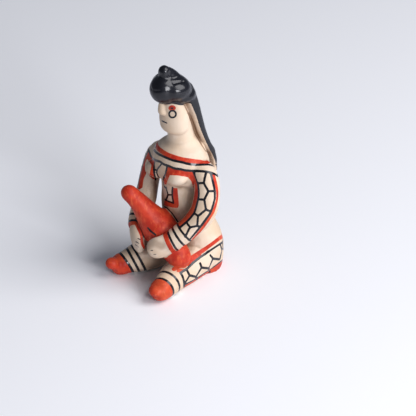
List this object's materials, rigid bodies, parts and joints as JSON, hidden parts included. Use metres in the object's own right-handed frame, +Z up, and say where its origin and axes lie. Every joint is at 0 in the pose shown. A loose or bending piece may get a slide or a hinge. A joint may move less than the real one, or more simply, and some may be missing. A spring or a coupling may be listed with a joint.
{
  "type": "clay doll figurine",
  "caption": "Seated clay doll with legs stretched forward, both hands holding a bottle gourd on its lap, a capped hair roll and a long flat hair tail down its back.",
  "frame": {"origin": "middle of the bounding box of the footprint, on the ground", "axes": "+Z up through the head, the doll faces -Y, its left hand is on +X"},
  "size_m": [0.0662, 0.0724, 0.151],
  "materials": {
    "painted_clay": "burnished cream clay with painted red and glossy black bands"
  },
  "bodies": {
    "root": {"clay_doll": "painted_clay"}
  },
  "joints": []
}
